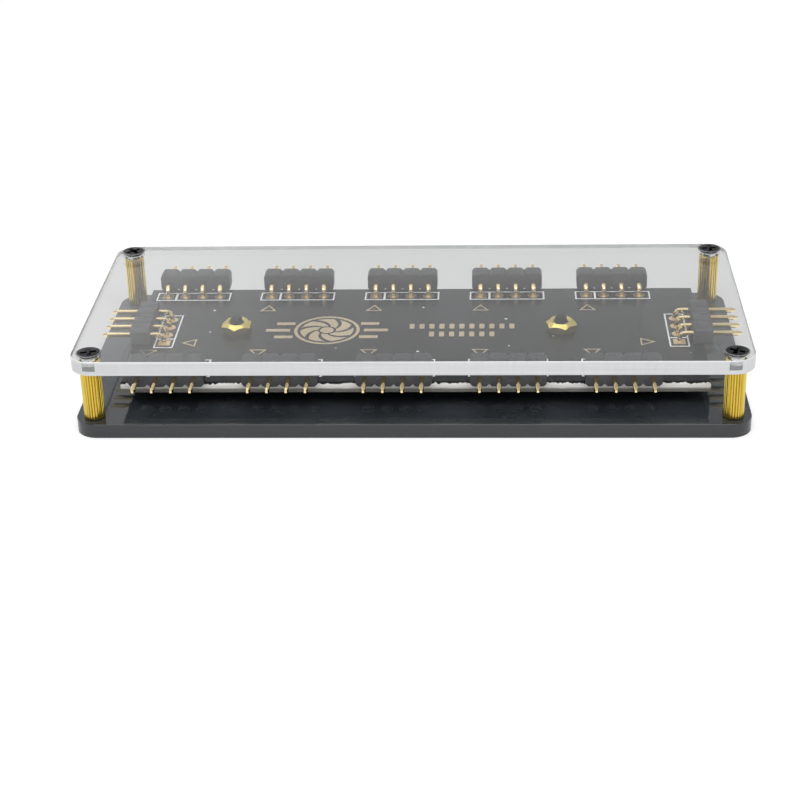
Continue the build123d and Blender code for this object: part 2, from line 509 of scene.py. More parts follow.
def ring(shape: BMesh, radius: float, z: float, segments: int, centre: Pair = (0, 0)) -> list[BMEdge]:
    """Add a level circle of edges.

    Args:
        shape: The mesh that gets it.
        radius: The circle's radius.
        z: Its height.
        segments: How many edges it has.
        centre: Its middle.

    Returns:
        The circle's edges.
    """
    place = Matrix.Translation((*centre, z))
    made = bmesh.ops.create_circle(shape, radius=radius, segments=segments, matrix=place)
    return fresh_edges(made["verts"])


def loft(shape: BMesh, loops: Sequence[list[BMEdge]]) -> list[BMFace]:
    """Bridge each loop of edges to the next, and give the new faces."""
    made = [bmesh.ops.bridge_loops(shape, edges=one + other)["faces"] for one, other in zip(loops, loops[1:])]
    return [face for band in made for face in band]


def spun(shape: BMesh, outline: Sequence[Pair], steps: int) -> None:
    """Spin an outline about Z, closed where it meets the axis.

    Args:
        shape: The mesh that gets the result.
        outline: Radius and height of each point.
        steps: How many faces go round.
    """
    verts = [shape.verts.new((radius, 0, z)) for radius, z in outline]
    edges = [shape.edges.new(pair) for pair in zip(verts, verts[1:])]
    bmesh.ops.spin(
        shape, geom=verts + edges, cent=(0, 0, 0), axis=(0, 0, 1), angle=math.tau, steps=steps, use_merge=True
    )
    bmesh.ops.remove_doubles(shape, verts=shape.verts[:], dist=1e-5)


def push(shape: BMesh, faces: Sequence[BMFace], step: Sequence[float]) -> list[BMFace]:
    """Extrude faces by a step.

    Args:
        shape: The mesh that holds them.
        faces: The faces to extrude.
        step: How far they go.

    Returns:
        The faces at the far end.
    """
    made = bmesh.ops.extrude_face_region(shape, geom=list(faces))["geom"]
    bmesh.ops.translate(shape, vec=step, verts=[v for v in made if isinstance(v, BMVert)])
    return [f for f in made if isinstance(f, BMFace)]


def repeat(shape: BMesh, row: Sequence[float]) -> None:
    """Put a shape at the first place of a row along X, and copies of it at the others.

    Args:
        shape: The mesh, about the origin.
        row: Each place along X.
    """
    first = everything(shape)
    bmesh.ops.translate(shape, vec=(row[0], 0, 0), verts=shape.verts[:])
    for x in row[1:]:
        made = bmesh.ops.duplicate(shape, geom=first)["geom"]
        bmesh.ops.translate(shape, vec=(x - row[0], 0, 0), verts=[v for v in made if isinstance(v, BMVert)])


def join(shapes: Sequence[tuple[BMesh, Matrix]]) -> BMesh:
    """Put several shapes in one mesh.

    Args:
        shapes: Each shape, which is used up, and its place.

    Returns:
        The joined mesh.
    """
    whole = bmesh.new()
    for shape, place in shapes:
        bmesh.ops.transform(shape, matrix=place, verts=shape.verts[:])
        part = bpy.data.meshes.new("part")
        shape.to_mesh(part)
        shape.free()
        whole.from_mesh(part)
        bpy.data.meshes.remove(part)
    return whole


def printed(shape: BMesh, thickness: float) -> BMesh:
    """Give flat print its thickness, and give it back."""
    push(shape, shape.faces[:], (0, 0, thickness))
    return face_outward(shape)


def hollow(shape: BMesh, line: float) -> BMesh:
    """Keep only a line along the inside of each face's outline.

    Args:
        shape: The flat faces.
        line: The line's width.

    Returns:
        The same mesh, hollowed.
    """
    fields = shape.faces[:]
    bmesh.ops.inset_individual(shape, faces=fields, thickness=line, depth=0)
    bmesh.ops.delete(shape, geom=fields, context="FACES")
    return shape


class Corner(Enum):
    """Corner of the plates: how far its screws are turned, in degrees, as they were tightened."""

    FRONT_LEFT = 17.0
    FRONT_RIGHT = 62.0
    BACK_LEFT = 40.0
    BACK_RIGHT = 5.0

    @property
    def turn(self) -> float:
        """Turn of the screw's cross, in degrees."""
        return self.value


class Side(Enum):
    """Side that a header's pins point to.

    Each has its turn about Z in degrees, the end of its row where pin 1 is, and its mark's way from the legs.
    """

    FRONT = (0.0, -1, 3.8)
    BACK = (180.0, 1, 4.55)
    LEFT = (-90.0, 1, 3.75)
    RIGHT = (90.0, -1, 4.6)

    @property
    def turn(self) -> Matrix:
        """Turn from the header's own frame to the board's."""
        return Matrix.Rotation(math.radians(self.value[0]), 4, "Z")

    @property
    def first(self) -> int:
        """Sign of pin 1's place along the row, in the header's own frame."""
        return self.value[1]

    @property
    def mark_gap(self) -> float:
        """Distance from the legs to the middle of the mark for pin 1."""
        return self.value[2]


@dataclass
class AcrylicPlate:
    """A sheet with rounded corners, broken edges and countersunk holes."""

    node: str
    finish: Finish
    edge: Sequence[Finish]  # of the cut sides and drilled holes, and of the windows, if they differ
    upward: bool  # whether the countersinks open upwards
    mouth: float  # radius of a countersink where it opens
    cone: float  # depth of a countersink
    holes: Sequence[Pair]
    corner: float = 3.0
    corner_steps: int = 14
    broken: float = 0.08
    bore: float = 1.1
    around: int = 48
    window: Pair = (1.2, 0.6)  # clearer stretch of a side, inside and outside a screw's axis
    window_rise: Pair = (0.65, 1.8)  # its ends above the sheet's underside
    frosted: float = 1.1  # depth to which the drill left a hole's wall dull

    def outline(self, shape: BMesh, inset: float, z: float) -> list[BMEdge]:
        """Add the sheet's outline.

        Args:
            shape: The mesh that gets it.
            inset: How far inside the sheet's edge it runs.
            z: Its height.

        Returns:
            The outline's edges.
        """
        low, high = extent(self.node)
        size = (high.x - low.x - 2 * inset, high.y - low.y - 2 * inset)
        corners = rectangle(shape, size, Matrix.Translation((0, 0, z)))
        edges = fresh_edges(round_corners(shape, corners, self.corner - inset, self.corner_steps))
        inner = list({f: None for e in edges for f in e.link_faces})
        bmesh.ops.delete(shape, geom=inner, context="FACES_ONLY")
        return edges

    def build(self) -> Object:
        """Make the sheet.

        Returns:
            The piece that stands for the CAD plate.
        """
        shape = bmesh.new()
        low, high = extent(self.node)
        face, back = (high.z, low.z) if self.upward else (low.z, high.z)
        down = math.copysign(1, back - face)
        rims = [
            self.outline(shape, self.broken, face),
            self.outline(shape, 0, face + down * self.broken),
            self.outline(shape, 0, back - down * self.broken),
            self.outline(shape, self.broken, back),
        ]
        loft(shape, rims)
        if self.edge:
            self.finish_sides(shape)
        levels = [
            (self.mouth, face),
            (self.bore, face + down * self.cone),
            (self.bore, face + down * self.frosted),
            (self.bore, back),
        ]
        for hole in self.holes:
            walls = loft(shape, [ring(shape, radius, z, self.around, hole) for radius, z in levels])
            for wall in walls:
                dull = abs(wall.calc_center_median().z - face) < self.frosted
                wall.material_index = int(dull and len(self.edge) > 0)
        for z in (face, back):
            rim = [e for e in shape.edges if e.is_boundary and abs(e.verts[0].co.z - z) < self.broken / 2]
            bmesh.ops.triangle_fill(shape, edges=rim, use_beauty=True)
        face_outward(shape)
        return make_piece(f"{self.node}_sheet", shape, self.finish, [self.node], others=self.edge)

    def finish_sides(self, shape: BMesh) -> None:
        """Give the sides their edge finish, with a clearer window in front of each corner's screw.

        Args:
            shape: The sheet's sides, before its faces are filled.
        """
        inside, outside = self.window
        screw = Vector(self.holes[0])
        spans = [(abs(place) - inside, abs(place) + outside) for place in screw]
        foot, head = (extent(self.node)[0].z + rise for rise in self.window_rise)
        cuts = [(axis, place) for axis, span in enumerate(spans) for place in (-span[0], span[0])]
        for axis, place in [*cuts, (2, foot), (2, head)]:
            level = Vector((0, 0, 0))
            level[axis] = 1
            bmesh.ops.bisect_plane(shape, geom=everything(shape), plane_co=level * place, plane_no=level)
        for side in shape.faces:
            middle = side.calc_center_median()
            clear = any(near < abs(middle[axis]) < far for axis, (near, far) in enumerate(spans))
            side.material_index = 2 if clear and foot < middle.z < head else 1


@dataclass
class CountersunkScrew:
    """Countersunk cross-recess screw.

    In its own frame the head's top is at the origin and the shank points to -Z.
    """

    node: str
    turn: float = 0.0  # of the cross, in degrees
    head: float = 1.75
    neck: float = 1.0  # radius where the cone ends
    neck_drop: float = 0.1  # from there to the core
    core: float = 0.8
    crest: float = 0.99
    # Points of the head's rim and of the shank's end: radius past the head's or the core's, and height.
    rim: tuple[Pair, ...] = ((-0.24, 0.0), (-0.06, -0.05), (-0.07, -0.09))
    point: tuple[Pair, ...] = ((0.0, 0.35), (-0.25, 0.04), (-0.32, 0.0))
    worn: float = 0.05  # depth of the rim's ring of painted highlight
    thread_pitch: float = 0.4
    thread_steps: int = 20  # in a turn
    thread_foot: float = 0.05  # how far it goes into the core
    thread_drops: tuple[float, ...] = (0.0, 0.12, 0.17, 0.3)  # of its section's corners
    thread_end: float = 0.75  # from the end of the screw
    arm: float = 1.1
    arm_width: float = 0.3
    recess: float = 0.55
    recess_flare: float = 2.0  # its mouth to its floor
    steps: int = 40

    @property
    def length(self) -> float:
        """Length over all."""
        low, high = extent(self.node)
        return high.z - low.z

    @property
    def place(self) -> Matrix:
        """The screw's frame on the hub: a top screw goes in from above, every other one from below."""
        low, high = extent(self.node)
        middle = (low + high) / 2
        spin = Matrix.Rotation(math.radians(self.turn), 4, "Z")
        if self.node.startswith("top"):
            return Matrix.Translation((middle.x, middle.y, high.z)) @ spin
        return Matrix.Translation((middle.x, middle.y, low.z)) @ Matrix.Rotation(math.pi, 4, "X") @ spin

    def cross(self, shape: BMesh) -> list[BMEdge]:
        """Add the walls and floor of the cross recess.

        Args:
            shape: The mesh that gets them.

        Returns:
            The edges round the recess's mouth.
        """
        down = Matrix.Translation((0, 0, -self.recess))
        made = bmesh.ops.create_grid(shape, x_segments=3, y_segments=3, size=1.0, matrix=down)["verts"]
        reach = self.arm_width / 2
        for vert in made:
            for axis in (0, 1):
                far = abs(vert.co[axis]) > 0.5
                vert.co[axis] = math.copysign(self.arm / 2 if far else reach, vert.co[axis])
        cells = {f: None for v in made for f in v.link_faces}
        corners = [f for f in cells if min(abs(c) for c in f.calc_center_median().xy) > reach]
        bmesh.ops.delete(shape, geom=corners, context="FACES")
        floor = [v for v in made if v.is_valid]
        brink = [e for e in fresh_edges(floor) if e.is_boundary]
        wall = bmesh.ops.extrude_edge_only(shape, edges=brink)["geom"]
        rim = [v for v in wall if isinstance(v, BMVert)]
        bmesh.ops.scale(shape, vec=(self.recess_flare, self.recess_flare, 1), verts=rim)
        bmesh.ops.translate(shape, vec=(0, 0, self.recess), verts=rim)
        return fresh_edges(rim)

    def thread(self, shape: BMesh, top: float) -> None:
        """Add the thread's ridge round the core.

        Args:
            shape: The mesh that gets it.
            top: The height where the ridge starts.
        """
        root = self.core - self.thread_foot
        radii = (root, self.crest, self.crest, root)
        verts = [shape.verts.new((radius, 0, top - drop)) for radius, drop in zip(radii, self.thread_drops)]
        edges = [shape.edges.new(pair) for pair in zip(verts, verts[1:] + verts[:1])]
        turns = (top + self.length - self.thread_end) / self.thread_pitch
        steps = int(turns * self.thread_steps)
        bmesh.ops.spin(
            shape,
            geom=verts + edges,
            cent=(0, 0, 0),
            axis=(0, 0, 1),
            dvec=(0, 0, -self.thread_pitch / self.thread_steps),
            angle=math.tau * steps / self.thread_steps,
            steps=steps,
        )
        bmesh.ops.holes_fill(shape, edges=[e for e in shape.edges if e.is_boundary], sides=4)

    def shape(self) -> BMesh:
        """Make the screw.

        Returns:
            Its mesh, in its own frame.
        """
        shape = bmesh.new()
        cone_end = self.neck - self.head
        outline = [
            *((self.head + past, z) for past, z in self.rim),
            (self.neck, cone_end),
            (self.core, cone_end - self.neck_drop),
            *((self.core + past, z - self.length) for past, z in self.point),
            (0.0, -self.length),
        ]
        spun(shape, outline, self.steps)
        # The rim's faces take material 1: the painted highlight, a ring of pale metal.
        for side in shape.faces:
            side.material_index = int(side.calc_center_median().z > -self.worn)
        rim = [e for e in shape.edges if e.is_boundary]
        bmesh.ops.triangle_fill(shape, edges=rim + self.cross(shape), use_beauty=True)
        self.thread(shape, cone_end - self.neck_drop / 2)
        return face_outward(shape)

    def build(self, name: str) -> Object:
        """Make the piece that stands for the CAD screw, under the given name."""
        return make_piece(name, self.shape(), ZINC, [self.node], self.place, [ZINC_RIM_HIGHLIGHT])


@dataclass
class CornerPost:
    """A knurled standoff with a screw into each end."""

    corner: Corner
    bore: float = 1.03
    ridges: int = 24
    ridge_steps: int = 4  # edges round each ridge
    ridge_depth: float = 0.13
    lip: float = 0.12  # height of the turned chamfer at each end
    lip_width: float = 0.22

    @property
    def name(self) -> str:
        """The corner's name as the CAD nodes have it."""
        return self.corner.name.lower()

    @property
    def centre(self) -> Pair:
        """The post's axis on the plates."""
        low, high = extent(f"standoff_{self.name}")
        return tuple((low + high).xy / 2)

    @property
    def radius(self) -> float:
        """The post's radius over the knurl."""
        low, high = extent(f"standoff_{self.name}")
        return (high.x - low.x) / 2

    @property
    def around(self) -> int:
        """How many edges go round the post."""
        return self.ridges * self.ridge_steps

    def knurl(self, shape: BMesh, z: float) -> list[BMEdge]:
        """Add the knurled section's outline.

        Args:
            shape: The mesh that gets it.
            z: Its height.

        Returns:
            The outline's edges.
        """
        place = Matrix.Translation((0, 0, z))
        made = bmesh.ops.create_circle(shape, radius=self.radius, segments=self.around, matrix=place)
        verts = made["verts"]
        low = 1 - self.ridge_depth / self.radius
        bmesh.ops.scale(shape, vec=(low, low, 1), verts=verts[:: self.ridge_steps])
        return fresh_edges(verts)

    def build(self) -> list[Object]:
        """Make the standoff and its two screws.

        Returns:
            The three pieces.
        """
        shape = bmesh.new()
        low, high = extent(f"standoff_{self.name}")
        land = self.radius - self.lip_width
        loops = [
            ring(shape, self.bore, low.z, self.around),
            ring(shape, land, low.z, self.around),
            self.knurl(shape, low.z + self.lip),
            self.knurl(shape, high.z - self.lip),
            ring(shape, land, high.z, self.around),
            ring(shape, self.bore, high.z, self.around),
        ]
        loft(shape, [*loops, loops[0]])
        here = Matrix.Translation((*self.centre, 0))
        turn = self.corner.turn
        return [
            make_piece(f"post_{self.name}", face_outward(shape), BRASS, [f"standoff_{self.name}"], here),
            CountersunkScrew(f"top_screw_{self.name}", turn).build(f"upper_bolt_{self.name}"),
            CountersunkScrew(f"bottom_screw_{self.name}", -turn).build(f"lower_bolt_{self.name}"),
        ]


@dataclass
class BoardFastener:
    """Screw, spacer and nut that hold the board on the bottom plate."""

    name: str
    turn: float  # of the nut, in degrees
    flats: float = 4.0
    bore: float = 1.03
    flare: float = 0.22  # widening at the bore's ends
    flare_depth: float = 0.2
    crown: float = 1.55  # radius of the nut's flat face
    nut_slope: float = 0.75  # of the chamfers
    spacer_slope: float = 0.2
    around: int = 48

    @property
    def centre(self) -> Pair:
        """The screw's axis on the board."""
        low, high = extent(f"board_screw_{self.name}")
        return tuple((low + high).xy / 2)

    def hexagon(self, shape: BMesh, z: float, slope: float) -> list[BMEdge]:
        """Add a hexagon whose corners drop away as a turned chamfer leaves them.

        Args:
            shape: The mesh that gets it.
            z: The height of its flats' middles.
            slope: How fast the corners drop with the radius.

        Returns:
            The hexagon's edges.
        """
        place = Matrix.Translation((0, 0, z))
        made = bmesh.ops.create_circle(shape, radius=self.flats / 2, segments=self.around, matrix=place)
        for vert in made["verts"]:
            past_corner = math.atan2(vert.co.x, vert.co.y) % (math.pi / 3)
            vert.co.xy = vert.co.xy / math.cos(past_corner - math.pi / 6)
            vert.co.z += slope * max(0.0, vert.co.xy.length - self.crown)
        return fresh_edges(made["verts"])

    def hex_nut(self, height: float, slope: float) -> BMesh:
        """Make a hexagonal nut or spacer.

        Args:
            height: How tall it is.
            slope: How steep its chamfers are.

        Returns:
            Its mesh, standing on the origin.
        """
        shape = bmesh.new()
        mouth = self.bore + self.flare
        loops = [
            ring(shape, mouth, 0, self.around),
            ring(shape, self.crown, 0, self.around),
            self.hexagon(shape, 0.0, slope),
            self.hexagon(shape, height, -slope),
            ring(shape, self.crown, height, self.around),
            ring(shape, mouth, height, self.around),
            ring(shape, self.bore, height - self.flare_depth, self.around),
            ring(shape, self.bore, self.flare_depth, self.around),
        ]
        loft(shape, [*loops, loops[0]])
        return face_outward(shape)

    def build(self) -> list[Object]:
        """Make the three pieces.

        Returns:
            The screw, the nut and the spacer.
        """
        pieces = [CountersunkScrew(f"board_screw_{self.name}").build(f"long_bolt_{self.name}")]
        for part, turn, slope in (("nut", self.turn, self.nut_slope), ("spacer", 0.0, self.spacer_slope)):
            node = f"board_{part}_{self.name}"
            low, high = extent(node)
            spin = Matrix.Rotation(math.radians(turn) + math.pi / 6, 4, "Z")
            place = Matrix.Translation((*self.centre, low.z)) @ spin
            shape = self.hex_nut(high.z - low.z, slope)
            # The nuts and the spacers take the lighter brass, which is painted light.
            pieces.append(make_piece(f"brass_{part}_{self.name}", shape, BRASS_PAINTED_LIGHTER, [node], place))
        return pieces


@dataclass
class PinHeader:
    """A right-angle header: a moulded strip of snap-off segments on bent square pins.

    In its own frame the legs stand in a row along X on the board's face, and the pins point to -Y.
    """

    name: str
    side: Side
    pins: int = 4
    pitch: float = 2.54
    height: float = 2.54
    depth: float = 2.54
    notch: float = 0.38
    edge_round: float = 0.07
    edge_angle: float = 0.3  # in radians, from which the strip's edges are rounded
    leg_to_strip: float = 1.9
    wire: float = 0.64
    wire_round: float = 0.19  # of the drawn wire's edges
    wire_crease: float = 14.0  # in degrees, from which the wire's edges are sharp
    bend: float = 0.45  # inside the elbow
    bend_steps: int = 8
    reach: float = 4.0
    foot: float = -2.8
    tip: float = 0.6
    tip_share: float = 0.5

    @property
    def place(self) -> Matrix:
        """The header's frame on the board."""
        low, high = extent(f"housing_{self.name}")
        middle = (low + high) / 2
        legs = self.side.turn @ Vector((0, self.leg_to_strip + self.depth / 2, 0))
        return Matrix.Translation((middle.x + legs.x, middle.y + legs.y, low.z)) @ self.side.turn

    @property
    def leg_row(self) -> list[float]:
        """Each leg's place along the row."""
        return [(i - (self.pins - 1) / 2) * self.pitch for i in range(self.pins)]

    def strip(self) -> BMesh:
        """Make the moulded strip.

        Returns:
            Its mesh, in the header's frame.
        """
        shape = bmesh.new()
        round_corners(shape, rectangle(shape, (self.pitch, self.height)), self.notch, 1)
        repeat(shape, self.leg_row)
        bmesh.ops.remove_doubles(shape, verts=shape.verts[:], dist=1e-4)
        push(shape, shape.faces[:], (0, 0, self.depth))
        face_outward(shape)
        bmesh.ops.bevel(
            shape,
            geom=[e for e in shape.edges if e.is_manifold and e.calc_face_angle() > self.edge_angle],
            affect="EDGES",
            offset=self.edge_round,
            offset_type="OFFSET",
            segments=2,
            profile=0.5,
            material=-1,
        )
        upright = Matrix.Rotation(math.pi / 2, 4, "X")
        stand = Matrix.Translation((0, -self.leg_to_strip, self.height / 2)) @ upright
        bmesh.ops.transform(shape, matrix=stand, verts=shape.verts[:])
        return shape

    def wires(self) -> BMesh:
        """Make the bent pins.

        Returns:
            Their mesh, in the header's frame.
        """
        shape = bmesh.new()
        corners = rectangle(shape, (self.wire, self.wire), Matrix.Translation((0, 0, self.foot)))
        round_corners(shape, corners, self.wire_round, 2)
        run = self.height / 2
        radius = self.bend + self.wire / 2
        end = push(shape, shape.faces[:], (0, 0, run - radius - self.foot))
        elbow = bmesh.ops.spin(
            shape,
            geom=end + [e for f in end for e in f.edges] + [v for f in end for v in f.verts],
            cent=(0, -radius, run - radius),
            axis=(1, 0, 0),
            angle=math.pi / 2,
            steps=self.bend_steps,
        )
        end = [g for g in elbow["geom_last"] if isinstance(g, BMFace)]
        straight = self.leg_to_strip + self.depth + self.reach - self.tip - radius
        end = push(shape, end, (0, -straight, 0))
        end = push(shape, end, (0, -self.tip, 0))
        tip_verts = [v for f in end for v in f.verts]
        centre = Matrix.Translation((0, 0, -run))
        bmesh.ops.scale(shape, vec=(self.tip_share, 1, self.tip_share), space=centre, verts=tip_verts)
        walls = [f for f in shape.faces if all(len(e.link_faces) > 2 for e in f.edges)]
        bmesh.ops.delete(shape, geom=walls, context="FACES_ONLY")
        repeat(shape, self.leg_row)
        return face_outward(shape)

    def build(self) -> list[Object]:
        """Make the strip and the pins.

        Returns:
            The two pieces.
        """
        place = self.place
        housing, pins = [f"housing_{self.name}"], [f"pins_{self.name}"]
        return [
            make_piece(f"strip_{self.name}", self.strip(), PLASTIC, housing, place),
            make_piece(f"wires_{self.name}", self.wires(), GILT, pins, place, crease=self.wire_crease),
        ]


@dataclass
class FanMark:
    """Plain emblem in bare gold: a fan in a ring with a draught to each side, and test pads beside it."""

    top: float  # the board's face
    centre: Pair = (-12.4, -0.8)
    radius: float = 4.6
    line: float = 0.45
    hub: float = 0.95
    blades: int = 7
    blade_span: Pair = (1.3, 3.75)
    blade_width: float = 0.64  # in radians
    sweep: float = 0.8  # in radians, from root to tip
    bars: tuple[Pair, ...] = ((2.2, 2.6), (0.0, 3.4), (-2.2, 2.6))  # offset and length
    bar_width: float = 0.85
    bar_gap: float = 0.6
    test_rows: tuple[tuple[float, int], ...] = ((0.4, 11), (-2.2, 7))  # Y and count
    test_middle: float = 6.5
    test_pitch: float = 1.4
    test_pad: Pair = (0.72, 1.55)
    test_round: float = 0.18
    thickness: float = 0.03

    def fan(self) -> BMesh:
        """Make the ring, the hub and the blades.

        Returns:
            Their flat mesh, about the origin.
        """
        shape = bmesh.new()
        root, tip = self.blade_span
        for vert in bmesh.ops.create_grid(shape, x_segments=2, y_segments=8, size=0.5)["verts"]:
            out = vert.co.y + 0.5
            radius = root + out * (tip - root)
            angle = self.sweep * out + self.blade_width * vert.co.x
            vert.co.xy = (radius * math.cos(angle), radius * math.sin(angle))
        copies = self.blades - 1
        bmesh.ops.spin(
            shape,
            geom=everything(shape),
            cent=(0, 0, 0),
            axis=(0, 0, 1),
            angle=math.tau / self.blades * copies,
            steps=copies,
            use_duplicate=True,
        )
        loft(shape, [ring(shape, self.radius - self.line, 0, 64), ring(shape, self.radius, 0, 64)])
        bmesh.ops.create_circle(shape, radius=self.hub, segments=32, cap_ends=True)
        return shape

    def draught(self) -> BMesh:
        """Make the bars to the left of the fan.

        Returns:
            Their flat mesh, about the fan's middle.
        """
        shape = bmesh.new()
        for offset, length in self.bars:
            start = math.sqrt(self.radius**2 - offset**2) + self.bar_gap
            place = Matrix.Translation((-start - length / 2, offset, 0))
            rectangle(shape, (length, self.bar_width), place)
        return shape

    def tests(self) -> BMesh:
        """Make the rows of test pads.

        Returns:
            Their flat mesh, on the board's plan.
        """
        shape = bmesh.new()
        for y, count in self.test_rows:
            for i in range(count):
                x = self.test_middle + (i - (count - 1) / 2) * self.test_pitch
                rectangle(shape, self.test_pad, Matrix.Translation((x, y, 0)))
        round_corners(shape, shape.verts[:], self.test_round, 4)
        return shape

    def build(self) -> list[Object]:
        """Make the emblem and the test pads.

        Returns:
            The two pieces.
        """
        board = Matrix.Translation((0, 0, self.top))
        here = board @ Matrix.Translation((*self.centre, 0))
        turned = here @ Matrix.Rotation(math.pi, 4, "Z")
        flat = [(self.fan(), here), (self.draught(), here), (self.draught(), turned)]
        emblem = join([(printed(shape, self.thickness), place) for shape, place in flat])
        return [
            make_piece("fan_emblem", emblem, ETCHED),
            make_piece("test_pads", printed(self.tests(), self.thickness), ETCHED, place=board),
        ]


@dataclass
class CircuitBoard:
    """The board's finish, pads, solder joints and print."""

    headers: Sequence[PinHeader]
    pad: float = 0.83
    pad_thickness: float = 0.03
    # Radius and height of a solder joint's points, from the pad up the leg.
    joint: tuple[Pair, ...] = (
        (0.0, 0.0),
        (0.78, 0.0),
        (0.74, 0.06),
        (0.6, 0.2),
        (0.48, 0.42),
        (0.41, 0.72),
        (0.3, 0.86),
        (0.0, 0.88),
    )
    ink_thickness: float = 0.02
    line: float = 0.3
    frame_length: float = 10.8
    frame_near: float = 1.35  # from the legs' row towards the strip
    frame_far: float = 1.4
    triangle: float = 1.38
    triangle_line: float = 0.42
    unmarked: str = "back_1"  # the header without a triangle

    def pad_shape(self, square: bool) -> BMesh:
        """Make a pad: round, or square for pin 1.

        Args:
            square: Whether it is square.

        Returns:
            Its mesh, standing on the origin.
        """
        shape = bmesh.new()
        if square:
            rectangle(shape, (2 * self.pad, 2 * self.pad))
        else:
            bmesh.ops.create_circle(shape, radius=self.pad, segments=24, cap_ends=True)
        return printed(shape, self.pad_thickness)

    def joint_shape(self) -> BMesh:
        """Make a solder joint: a fillet that climbs the leg.

        Returns:
            Its mesh, standing on the origin.
        """
        shape = bmesh.new()
        spun(shape, self.joint, 16)
        return face_outward(shape)

    def footprint(self, header: PinHeader) -> BMesh:
        """Make a header's printed frame, with a bar beside pin 1.

        Args:
            header: The header that stands in it.

        Returns:
            The print, in the header's frame.
        """
        shape = bmesh.new()
        depth = self.frame_near + self.frame_far
        middle = (self.frame_far - self.frame_near) / 2
        rectangle(shape, (self.frame_length, depth), Matrix.Translation((0, middle, 0)))
        hollow(shape, self.line)
        beside = Matrix.Translation((header.side.first * header.pitch, middle, 0))
        rectangle(shape, (self.line, depth - 2 * self.line), beside)
        return printed(shape, self.ink_thickness)

    def pointer(self) -> BMesh:
        """Make the triangle that marks pin 1, pointing to -Y.

        Returns:
            The print, in its own frame.
        """
        shape = bmesh.new()
        half_turn = Matrix.Rotation(math.pi, 4, "Z")
        bmesh.ops.create_circle(shape, radius=self.triangle, segments=3, cap_ends=True, matrix=half_turn)
        return printed(hollow(shape, self.triangle_line), self.pad_thickness)

    def build(self) -> list[Object]:
        """Dress the board and make what lies on it.

        Returns:
            The new pieces.
        """
        dress("circuit_board", BOARD)
        low, high = extent("circuit_board")
        pads, joints, frames, pointers = [], [], [], []
        flip = Matrix.Rotation(math.pi, 4, "X")
        for header in self.headers:
            place = header.place
            first = header.side.first * header.leg_row[-1]
            for x in header.leg_row:
                upper = place @ Matrix.Translation((x, 0, 0))
                lower = place @ Matrix.Translation((x, 0, low.z - high.z)) @ flip
                square = math.isclose(x, first)
                pads += [(self.pad_shape(square), upper), (self.pad_shape(square), lower)]
                joints.append((self.joint_shape(), lower))
            frames.append((self.footprint(header), place))
            if header.name != self.unmarked:
                mark = place @ Matrix.Translation((first, header.side.mark_gap, 0))
                pointers.append((self.pointer(), mark))
        return [
            make_piece("pin_pads", join(pads), ETCHED),
            make_piece("solder_joints", join(joints), TIN),
            make_piece("printed_frames", join(frames), INK),
            make_piece("pin_one_marks", join(pointers), ETCHED),
            *FanMark(high.z).build(),
        ]


@dataclass(frozen=True)
class Lamp:
    """A soft lamp that points at the hub; its place and size are in metres."""

    name: str
    place: tuple[float, float, float]
    size: Pair
    watts: float

    def hang(self) -> None:
        """Put the lamp in the scene."""
        data = bpy.data.lights.new(self.name, "AREA")
        data.shape = "RECTANGLE"
        data.size, data.size_y = self.size
        data.energy = self.watts
        holder = bpy.data.objects.new(self.name, data)
        holder.location = self.place
        holder.rotation_euler = (-Vector(self.place)).to_track_quat("-Z", "Y").to_euler()
        bpy.context.scene.collection.objects.link(holder)


